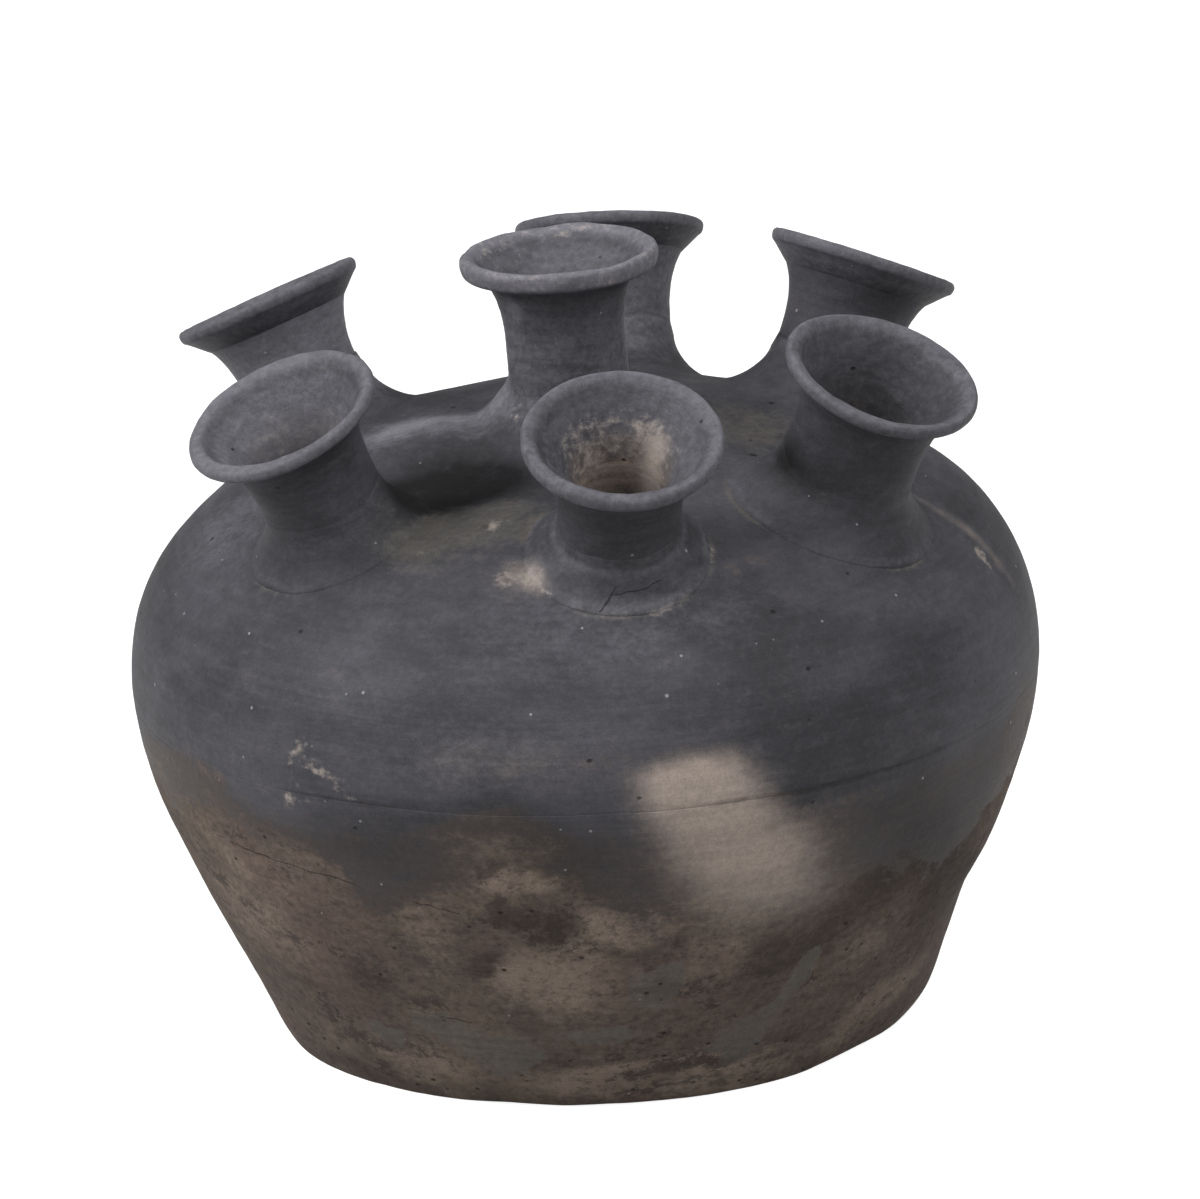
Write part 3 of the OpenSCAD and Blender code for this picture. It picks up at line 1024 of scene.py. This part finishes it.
def funnel_marks(points, spout):
    """Marks inside a funnel, which neck and lip share."""
    _, height, turn = spout_parts(points, spout)
    below = spout.length - height
    front = spout.name == "front"
    seen = apart(turn, -spout.turn)
    ash = INSIDE_ASH.get(spout.name, 0.1) * ease(np.abs(seen), 60, 120)
    streak = 0.26 + 0.6 * hump(seen - 136, 13) if front else 0.55
    spots = 0.36 + 0.26 * hump(seen + 150, 30) + 0.22 * hump(seen - 148, 24)
    burnt = (1 - hump(seen - 66, 38)) * ease(below, 13 * MM, 34 * MM)
    burnt *= 0.95 if front else 0.08
    # painted shade deep in the front funnel's hole
    hole = 0.7 * ease(below, 38 * MM, 55 * MM) * hump(apart(seen, 170), 36)
    return {
        "pale": ash * streak * ease(below, 8 * MM, 20 * MM) * ease(below, 58 * MM, 42 * MM),
        "chalk": ash * spots * ease(below, 4 * MM, 13 * MM) * ease(below, 44 * MM, 24 * MM),
        "fire": burnt,
        "light": 0.9 * burnt,
        # painted shade deep in the bore of every neck
        "soot_and_shade": hole if front else 0.7 * ease(below, 40 * MM, 62 * MM),
        "wear": np.full(len(points), INSIDE_WEAR.get(spout.name, 0.12)),
    }


def mark_neck(neck, spout):
    """Marks of a neck: those of the funnel inside; outside, painted shade and painted light with
    some wear.
    """
    points, inner = read(neck), read(neck, "along") > 0.5
    marks = {kind: inner * value for kind, value in funnel_marks(points, spout).items()}
    # painted shade on the outside of the right rear neck
    marks["soot_and_shade"] += ~inner * (0.22 if spout.name == "right_rear" else 0.0)
    # painted light on the lit faces of the middle and rear necks, with some wear
    marks["wear"] += ~inner * NECK_WEAR_AND_LIGHT.get(spout.name, 0.0)
    mark_piece(neck, spout_parts(points, spout)[1], **marks)


def mark_collar(collar, spout):
    """Marks of a collar: brown dust at its edge, wear and painted light on its crest and by the
    neck.
    """
    points = read(collar)
    front = spout.name == "front"
    away, _, turn = spout_parts(points, spout)
    off_neck = away - spout.neck_r
    beyond = collar_edge(points, spout)
    step = min(COLLARS[spout.name].step / MM, 1) * edge_shown(spout, np.radians(turn))
    brown = step * hump(beyond - 0.3 * MM, 1.5 * MM) * (1.5 if front else 0.4)
    # painted light by the middle and rear necks and a painted highlight on the crest, with some
    # wear
    rubbed_and_lit = NECK_WEAR_AND_LIGHT.get(spout.name, 0.0) * ease(off_neck, 14 * MM, 1 * MM)
    rubbed_and_lit += 0.3 * step * hump(beyond + 2.0 * MM, 1.8 * MM) + 0.08 * front
    rubbed_and_lit += hump(off_neck - 1.5 * MM, 1.6 * MM) * (0.16 if front else 0.03)
    mark_piece(collar, away, dust=0.5 * brown, chalk=0.3 * brown, wear=rubbed_and_lit)


def mark_lip(lip, spout):
    """Marks of a lip: funnel marks inside, ash, wear and a painted highlight on top, dust in the
    undercut.
    """
    points = read(lip)
    away, height, _ = spout_parts(points, spout)
    inner = ease(away, MOUTH_R - 3 * MM, MOUTH_R - 7 * MM)
    marks = {kind: inner * value for kind, value in funnel_marks(points, spout).items()}
    ash = LIP_ASH.get(spout.name, 0.0)
    # wear and a painted highlight, growing towards the outer crest of the lip
    marks["wear"] += (1 - inner) * (0.18 + (0.24 + ash) * ease(away, MOUTH_R - 6 * MM, MOUTH_R))
    marks["chalk"] += (1 - inner) * ash
    marks["dust"] = 0.3 * hump(height - spout.length + 3 * MM, 2 * MM)
    mark_piece(lip, away, **marks)


for spout, neck, collar, lip in zip(SPOUTS, necks, collars, lips):
    mark_neck(neck, spout)
    mark_collar(collar, spout)
    mark_lip(lip, spout)
print("marks kept on each vertex:", len(lips[0].data.attributes))

# %% [markdown]
# ## The clay finish
#
# One finish serves the whole vase, because it is one clay and one firing. It is built in layers,
# mostly as the kiln did it: smoked clay first, then the fire marks, the pale cloud, soot with
# painted shade, dust, ash, and wear with painted light. All patterns read Object coordinates, so
# they run on from piece to piece without a jump.
# Small helpers keep the node tree short to write: each adds one node and gives back its output.

# %% Helpers for the node tree
class Finish:
    """A material or a world under construction."""

    def __init__(self, owner):
        owner.use_nodes = True
        self.tree = owner.node_tree
        self.tree.nodes.clear()

    def add(self, kind, values=None, **settings):
        """Adds a node, sets its options and joins or fills its inputs."""
        made = self.tree.nodes.new(kind)
        for option, value in settings.items():
            setattr(made, option, value)
        for socket, value in (values or {}).items():
            if isinstance(value, bpy.types.NodeSocket):
                self.tree.links.new(value, made.inputs[socket])
            else:
                made.inputs[socket].default_value = value
        return made

    def mark(self, name):
        """A number stored on the vertices."""
        return self.add("ShaderNodeAttribute", attribute_name=name).outputs["Fac"]

    def clouds(self, vector, scale, detail=4.0, roughness=0.55):
        """Noise from 0 to 1."""
        values = {"Vector": vector, "Scale": scale, "Detail": detail, "Roughness": roughness}
        return self.add("ShaderNodeTexNoise", values).outputs["Fac"]

    def steps(self, operation, first, second=(0, 0, 0)):
        """One step of vector arithmetic. A distance or a dot product gives a plain number."""
        second = {"Scale": second} if operation == "SCALE" else {1: second}
        made = self.add("ShaderNodeVectorMath", {0: first, **second}, operation=operation)
        return made.outputs["Value" if operation in ("DOT_PRODUCT", "DISTANCE") else "Vector"]

    def sums(self, operation, first, second=0.0, third=0.0):
        """One step of arithmetic."""
        values = {0: first, 1: second, 2: third}
        return self.add("ShaderNodeMath", values, operation=operation).outputs[0]

    def times(self, first, second):
        """One value times another."""
        return self.sums("MULTIPLY", first, second)

    def weighed(self, *parts):
        """Sum of values, each given with its weight."""
        total = 0.0
        for value, weight in parts:
            total = self.sums("MULTIPLY_ADD", value, weight, total)
        return total

    def span(self, value, low, high, to_low=0.0, to_high=1.0):
        """Maps low..high smoothly to another span."""
        made = self.add("ShaderNodeMapRange", {
            "Value": value, "From Min": low, "From Max": high, "To Min": to_low, "To Max": to_high,
        }, interpolation_type="SMOOTHSTEP")
        return made.outputs["Result"]

    def ragged(self, name, noise, depth, low, high):
        """A stored mark whose soft edge is broken up by noise, further with a greater depth."""
        broken = self.sums("MULTIPLY_ADD", noise, depth, -0.5 * depth)
        return self.span(self.sums("ADD", self.mark(name), broken), low, high)

    def blend(self, share, first, second, kind="MIX"):
        """Mixes two colours."""
        values = {0: share, 6: first, 7: second}
        options = {"data_type": "RGBA", "blend_type": kind, "clamp_factor": True}
        return self.add("ShaderNodeMix", values, **options).outputs[2]


# %% [markdown]
# The colours below are how the clay looks in soft daylight. Each layer has a light and a dark
# tone and noise of two or three sizes between them, because a single flat colour never looks like
# fired clay.

# %% Colours of the clay
def colour(red, green, blue):
    """A colour as it looks on a screen, from 0 to 255, in the linear values that Blender uses."""
    parts = [channel / 255 for channel in (red, green, blue)]
    return (*(p / 12.92 if p <= 0.04045 else ((p + 0.055) / 1.055) ** 2.4 for p in parts), 1.0)


SMOKE_DARK = colour(60, 60, 64)
SMOKE_LIGHT = colour(83, 82, 88)
SINGED = colour(77, 71, 69)
FIRE_DARK = colour(94, 84, 78)
FIRE_MID = colour(121, 108, 99)
FIRE_LIGHT = colour(151, 136, 124)
FIRE_RED = colour(112, 96, 89)
FIRE_SAND = colour(139, 126, 110)
BURNT_DARK = colour(68, 60, 57)
SMUDGE_GREEN = colour(114, 110, 105)
PALE_CLAY = colour(178, 164, 154)
# black of soot and of painted shade
SOOT_AND_SHADE_BLACK = colour(25, 24, 25)
DUST_OLIVE = colour(112, 107, 99)
ASH_PINK = colour(158, 149, 142)
# grey of wear and of painted light
WORN_AND_LIT_GREY = colour(122, 121, 128)
PIT_BLACK = colour(32, 28, 26)
GRAIN_WHITE = colour(176, 174, 172)

# %% [markdown]
# Noise of many sizes breaks up every layer, from slow clouds to fine powder. `drawn` and `laid`
# squeeze it in height, so that it runs along the wheel, as the potter's hands drew the clay.

# %% Noises that the layers share
fired_clay = bpy.data.materials.new("fired_clay")
clay = Finish(fired_clay)
where = clay.add("ShaderNodeTexCoord").outputs["Object"]
drawn = clay.steps("MULTIPLY", where, (1.0, 1.0, 2.6))
laid = clay.steps("MULTIPLY", where, (1.0, 1.0, 1.35))
cloud = clay.clouds(where, 9, 3)
hue = clay.clouds(where, 13, 5, 0.6)
torn = clay.clouds(drawn, 17, 10, 0.7)
blotch = clay.clouds(where, 46, 6, 0.62)
streak = clay.clouds(drawn, 62, 8, 0.7)
crumbs = clay.clouds(laid, 120, 9, 0.8)
mottle = clay.clouds(laid, 190, 6, 0.7)
speckle = clay.clouds(where, 300, 3, 0.6)
powder = clay.clouds(where, 1100, 2)
mixed = clay.weighed((streak, 0.6), (speckle, 0.4))
broken = clay.weighed((torn, 0.6), (mixed, 0.4))
rip = clay.weighed((torn, 0.5), (crumbs, 0.5))
print("noises:", len(clay.tree.nodes), "nodes")

# %% [markdown]
# Smoke blackened all the clay, but never evenly. Where embers lay against the pot it burnt off
# again, and left warm clay that changes hue slowly, with smooth pale places, torn dark ones with
# fine crumbs round them, and smudges of greenish ash. Near the foot the pale places are partly
# painted fill light.

# %% Smoke and fire
tone = clay.weighed((cloud, 0.45), (torn, 0.35), (streak, 0.2))
smoked = clay.blend(clay.span(tone, 0.38, 0.62), SMOKE_DARK, SMOKE_LIGHT)
warm = clay.blend(clay.span(broken, 0.38, 0.62), FIRE_DARK, FIRE_MID)
warm = clay.blend(clay.ragged("light", broken, 1.9, 0.1, 1.0), warm, FIRE_LIGHT)
warm = clay.blend(clay.span(hue, 0.5, 0.66, 0.0, 0.55), warm, FIRE_RED)
warm = clay.blend(clay.span(hue, 0.5, 0.36, 0.0, 0.35), warm, FIRE_SAND)
warm = clay.blend(clay.span(mottle, 0.51, 0.64, 0.0, 0.42), warm, BURNT_DARK)
patchy = clay.span(clay.clouds(drawn, 15, 6, 0.65), 0.46, 0.58)
tufts = clay.times(clay.span(rip, 0.51, 0.55), patchy)
warm = clay.blend(clay.times(tufts, 0.75), warm, BURNT_DARK)
darkened = clay.ragged("dark", rip, 5.0, 0.15, 1.0)
warm = clay.blend(clay.times(darkened, clay.span(mottle, 0.35, 0.65, 0.92, 0.62)), warm, BURNT_DARK)
wiped = clay.ragged("smudge", rip, 3.2, 0.42, 0.56)
warm = clay.blend(clay.times(wiped, clay.span(broken, 0.38, 0.6, 0.85, 0.45)), warm, SMUDGE_GREEN)
fired = clay.ragged("fire", rip, 3.8, 0.3, 0.85)
skin = clay.blend(clay.ragged("fire", mixed, 0.6, 0.02, 0.22), smoked, SINGED)
skin = clay.blend(fired, skin, warm)
print("smoke and fire:", len(clay.tree.nodes), "nodes")

# %% [markdown]
# The other marks lie on top of these, each in its own tone; the soot carries painted shade and
# the wear carries painted light. Ash and dust cling in spots, so noise tears them more than the
# pale cloud and the rubbed and painted-lit places.

# %% Pale cloud, soot and painted shade, dust, wear and painted light, and ash
ash = clay.ragged("chalk", mixed, 3.0, 0.3, 1.05)
for share, tint in (
    (clay.ragged("pale", rip, 1.0, 0.0, 1.0), PALE_CLAY),
    # soot and painted shade
    (clay.times(clay.mark("soot_and_shade"), 0.93), SOOT_AND_SHADE_BLACK),
    (clay.times(clay.ragged("dust", broken, 2.4, 0.3, 0.9), 0.5), DUST_OLIVE),
    # wear and painted light
    (clay.ragged("wear", mixed, 0.9, 0.0, 1.0), WORN_AND_LIT_GREY),
    (clay.times(ash, clay.span(clay.mark("chalk"), 0.03, 0.25)), ASH_PINK),
):
    skin = clay.blend(share, skin, tint)

# %% [markdown]
# The wheel left fine lines, a tone lighter and darker in turn. They follow `rings`: the height on
# bowl, crown and necks, and the distance from the spout's axis on collars and lips.

# %% Wheel lines
split = clay.add("ShaderNodeSeparateXYZ", {"Vector": where}).outputs
lines = clay.add("ShaderNodeCombineXYZ", {
    "X": clay.times(split["X"], 9.0),
    "Y": clay.times(split["Y"], 9.0),
    "Z": clay.times(clay.mark("rings"), 420.0),
}).outputs["Vector"]
line = clay.clouds(lines, 1.0, 3, 0.5)
skin = clay.blend(1.0, skin, clay.span(line, 0.25, 0.75, 0.94, 1.06), "MULTIPLY")

# %% [markdown]
# Next come the cuts: the open seam, scratches, the drying crack at the front spout and a few deep
# pits. Scratches and crack are lines on a chart of the body, with the way round the belly across
# and the height up. Noise shakes the chart, so that no line is straight.

# %% Seam, scratches and deep pits
SCRATCHES = [
    # two ends as turn and height, and the width; degrees and millimetres
    ((-57, 128), (-44, 125.5), 0.6),
    ((-44, 125.5), (-35, 124), 0.55),
    ((-35, 124), (-31, 121), 0.45),
    ((-24, 117), (-18, 113), 0.5),
    ((-33, 56), (-20, 50), 0.45),
    ((5.0, 258.5), (4.5, 255.6), 0.7),
    ((4.5, 255.6), (3.6, 251.8), 1.1),
    ((3.6, 251.8), (2.5, 248.4), 0.7),
    ((4.5, 255.0), (8.4, 256.4), 0.5),
    ((8.4, 256.4), (12.0, 259.4), 0.4),
]
# place seen from above, and radius, in millimetres
PITS = [(-51, 73, 2.4), (-44, 82, 3.0), (82, -39, 2.4), (81, -13, 1.4)]


def scratch(chart, start, end, width):
    """A line from one (turn, height) to another, drawn on a chart of arc and height."""
    ends = (Vector((math.radians(turn) * BODY_R, level * MM, 0)) for turn, level in (start, end))
    first, last = ends
    along = last - first
    offset = clay.steps("SUBTRACT", chart, first)
    share = clay.steps("DOT_PRODUCT", offset, along / along.length_squared)
    held = clay.add("ShaderNodeClamp", {"Value": share}).outputs[0]
    away = clay.steps("DISTANCE", offset, clay.steps("SCALE", along, held))
    return clay.span(away, width, width * 0.2)


shaky = clay.sums("SUBTRACT", clay.mark("joint"), 3.5 * MM)
shaky = clay.sums("ABSOLUTE", clay.sums("MULTIPLY_ADD", streak, 7 * MM, shaky))
is_open = clay.ragged("open_joint", blotch, 1.6, 0.25, 0.95)
gap = clay.times(clay.span(shaky, 2.4 * MM, 0.3 * MM), is_open)
shiver = clay.add("ShaderNodeTexNoise", {"Vector": where, "Scale": 160.0, "Detail": 3.0})
shiver = clay.steps("SUBTRACT", shiver.outputs["Color"], (0.5, 0.5, 0.5))
chart = clay.add("ShaderNodeCombineXYZ", {"X": clay.mark("arc"), "Y": split["Z"]}).outputs["Vector"]
chart = clay.steps("ADD", chart, clay.steps("MULTIPLY", shiver, (3.4 * MM, 3.4 * MM, 0)))
cracks = 0.0
for start, end, width in SCRATCHES:
    cracks = clay.sums("MAXIMUM", cracks, scratch(chart, start, end, width * MM))
cracks = clay.times(cracks, clay.span(blotch, 0.36, 0.56, 0.2, 0.85))
loose = clay.steps("ADD", where, clay.steps("SCALE", shiver, 3 * MM))
loose = clay.steps("MULTIPLY", loose, (1, 1, 0))
for x, y, reach in PITS:
    away = clay.steps("DISTANCE", loose, (x * MM, y * MM, 0))
    cracks = clay.sums("MAXIMUM", cracks, clay.span(away, reach * MM, reach * 0.5 * MM))

# %% [markdown]
# Small pits and white grains are points of a Voronoi pattern, of which only a few are let
# through. Pits are common in the burnt clay near the foot, and grains where a `fleck` mark lies.

# %% Small pits and white grains
def scatter(vector, scale):
    """Distance from the nearest point of a scatter, and that point's random numbers."""
    points = clay.add("ShaderNodeTexVoronoi", {"Vector": vector, "Scale": scale})
    draw = clay.add("ShaderNodeSeparateColor", {"Color": points.outputs["Color"]})
    return points.outputs["Distance"], draw.outputs


away, draw = scatter(laid, 140.0)
often = clay.times(fired, clay.span(split["Z"], 60 * MM, 8 * MM, 0.6, 1.0))
few = clay.sums("GREATER_THAN", draw["Red"], clay.span(often, 0.2, 1.0, 0.99, 0.74))
pit = clay.times(clay.span(away, 0.24, 0.1), few)
away, draw = scatter(where, 250.0)
rare = clay.span(clay.mark("fleck"), 0.1, 1.0, 0.982, 0.86)
few = clay.sums("GREATER_THAN", draw["Green"], rare)
size = clay.sums("MULTIPLY_ADD", draw["Red"], 1.1, 0.35)
white = clay.times(clay.span(clay.sums("DIVIDE", away, size), 0.2, 0.08), few)
hollow = clay.sums("MAXIMUM", clay.sums("MAXIMUM", pit, cracks), clay.times(gap, 0.6))
skin = clay.blend(clay.times(hollow, 0.8), skin, PIT_BLACK)
skin = clay.blend(clay.times(white, 0.65), skin, GRAIN_WHITE)

# %% [markdown]
# The clay feels like fine sandpaper. A powdery noise changes its tone, a bump gives the relief
# that is too fine for the mesh, and the surface is nearly matt: burnt clay more so than smoked
# clay.

# %% Powdery tone, fine relief and surface
GLOSS = 0.16
fine = clay.weighed((speckle, 0.5), (powder, 0.5))
skin = clay.blend(1.0, skin, clay.span(fine, 0.3, 0.7, 0.84, 1.14), "MULTIPLY")
rough = clay.weighed((speckle, 0.6), (powder, 0.25), (line, 0.45), (streak, 0.5), (hollow, -1.2))
relief = clay.add("ShaderNodeBump", {"Height": rough, "Strength": 0.6, "Distance": 0.6 * MM})
surface = clay.add("ShaderNodeBsdfPrincipled", {
    "Base Color": skin,
    "Roughness": clay.span(fired, 0.2, 0.8, 0.6, 0.86),
    "Normal": relief.outputs["Normal"],
})
surface.inputs["Specular IOR Level"].default_value = GLOSS
clay.add("ShaderNodeOutputMaterial", {"Surface": surface.outputs["BSDF"]})
print("clay finish:", len(clay.tree.nodes), "nodes")

# %% [markdown]
# ## Putting the pieces on the frame
#
# Every new piece stands for one CAD node, whose part it hides, and rides on the one body of the
# vase. Each takes the one clay finish in its only slot.

# %% Ride, replace and dress
def fit(piece, node):
    """Dresses a piece and lets it stand for its CAD node."""
    piece.data.materials.clear()
    piece.data.materials.append(fired_clay)
    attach(piece, "root")
    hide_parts(node)


fit(bowl, "lower_bowl")
fit(crown, "crown_dome")
fit(coil, "seam_coil")
for spout, neck, collar, lip in zip(SPOUTS, necks, collars, lips):
    fit(neck, "neck_" + spout.name)
    fit(collar, "collar_" + spout.name)
    fit(lip, "lip_" + spout.name)

# %% [markdown]
# ## Camera
#
# The camera stands where the photographer stood: nearly four metres away, about eighteen degrees
# above the middle of the vase and held a little crooked. A long lens keeps the near and far
# spouts the same size.

# %% Camera at the photograph's angle
TARGET = Vector((7.8, 0, 197.7)) * MM
DISTANCE = 3.962
ELEVATION = math.radians(17.85)
ROLL = math.radians(-2.51)
LENS = 252.2


def add_camera():
    """Camera that looks at the vase as in the photograph."""
    away = Vector((0, -math.cos(ELEVATION), math.sin(ELEVATION)))
    level = Vector((1, 0, 0))
    upward = Vector((0, math.sin(ELEVATION), math.cos(ELEVATION)))
    side = level * math.cos(ROLL) + upward * math.sin(ROLL)
    top = upward * math.cos(ROLL) - level * math.sin(ROLL)
    camera = bpy.data.objects.new("camera", bpy.data.cameras.new("camera"))
    camera.data.lens = LENS
    camera.data.sensor_width = 36.0
    facing = Matrix((side, top, away)).transposed().to_4x4()
    camera.matrix_world = Matrix.Translation(TARGET + away * DISTANCE) @ facing
    bpy.context.scene.collection.objects.link(camera)
    bpy.context.scene.camera = camera


add_camera()

# %% [markdown]
# ## Floor and light
#
# The vase stands on a plain floor under broad softboxes. The strongest is high on the left, a
# second is high on the right, and two weak ones stand in front and behind. Nearly all the light
# falls from above, which leaves the necks dark under their lips. To the camera the floor is
# lifted to white, so that only the soft shadow is left of it.

# %% Floor
WHITE = (1, 1, 1, 1)
FLOOR_GREY = (0.35, 0.345, 0.34, 1)
FLOOR_GLOW = 0.9


def add_floor():
    """Plain floor that looks white to the camera but keeps the vase's shadow."""
    bm = bmesh.new()
    bmesh.ops.create_grid(bm, x_segments=1, y_segments=1, size=12)
    floor = placed("floor", bm)
    floor_paint = bpy.data.materials.new("floor_paint")
    paint = Finish(floor_paint)
    plain = paint.add("ShaderNodeBsdfDiffuse", {"Color": FLOOR_GREY}).outputs["BSDF"]
    rays = paint.add("ShaderNodeLightPath").outputs
    seen = paint.sums("MAXIMUM", rays["Is Camera Ray"], rays["Is Glossy Ray"])
    seen = paint.sums("MAXIMUM", seen, rays["Is Transmission Ray"])
    strength = paint.times(seen, FLOOR_GLOW)
    glow = paint.add("ShaderNodeEmission", {"Color": WHITE, "Strength": strength})
    both = paint.add("ShaderNodeAddShader", {0: plain, 1: glow.outputs["Emission"]})
    paint.add("ShaderNodeOutputMaterial", {"Surface": both.outputs["Shader"]})
    floor.data.materials.append(floor_paint)


add_floor()


# %% Lights
def add_softbox(name, place, size, power):
    """A square soft light that faces the vase."""
    light = bpy.data.lights.new(name, "AREA")
    light.size = size
    light.energy = power
    lamp = bpy.data.objects.new(name, light)
    lamp.location = place
    aim = TARGET - Vector(place)
    lamp.rotation_mode = "QUATERNION"
    lamp.rotation_quaternion = aim.to_track_quat("-Z", "Y")
    bpy.context.scene.collection.objects.link(lamp)


def add_world(strength):
    """Even light from all round, which the camera sees as white."""
    world = bpy.data.worlds.new("studio")
    bpy.context.scene.world = world
    sky = Finish(world)
    seen = sky.add("ShaderNodeLightPath").outputs["Is Camera Ray"]
    level = sky.span(seen, 0.0, 1.0, strength, 1.0)
    light = sky.add("ShaderNodeBackground", {"Color": WHITE, "Strength": level})
    sky.add("ShaderNodeOutputWorld", {"Surface": light.outputs["Background"]})


add_softbox("left_window", (-2.2, -0.6, 2.4), 2.4, 104)
add_softbox("right_window", (1.8, -0.9, 2.6), 2.2, 52)
add_softbox("front_window", (0, -2.4, 2.4), 2.0, 24)
add_softbox("back_window", (1.2, 2.0, 2.6), 2.0, 14)
add_world(0.07)
bpy.context.scene.view_settings.view_transform = "Standard"
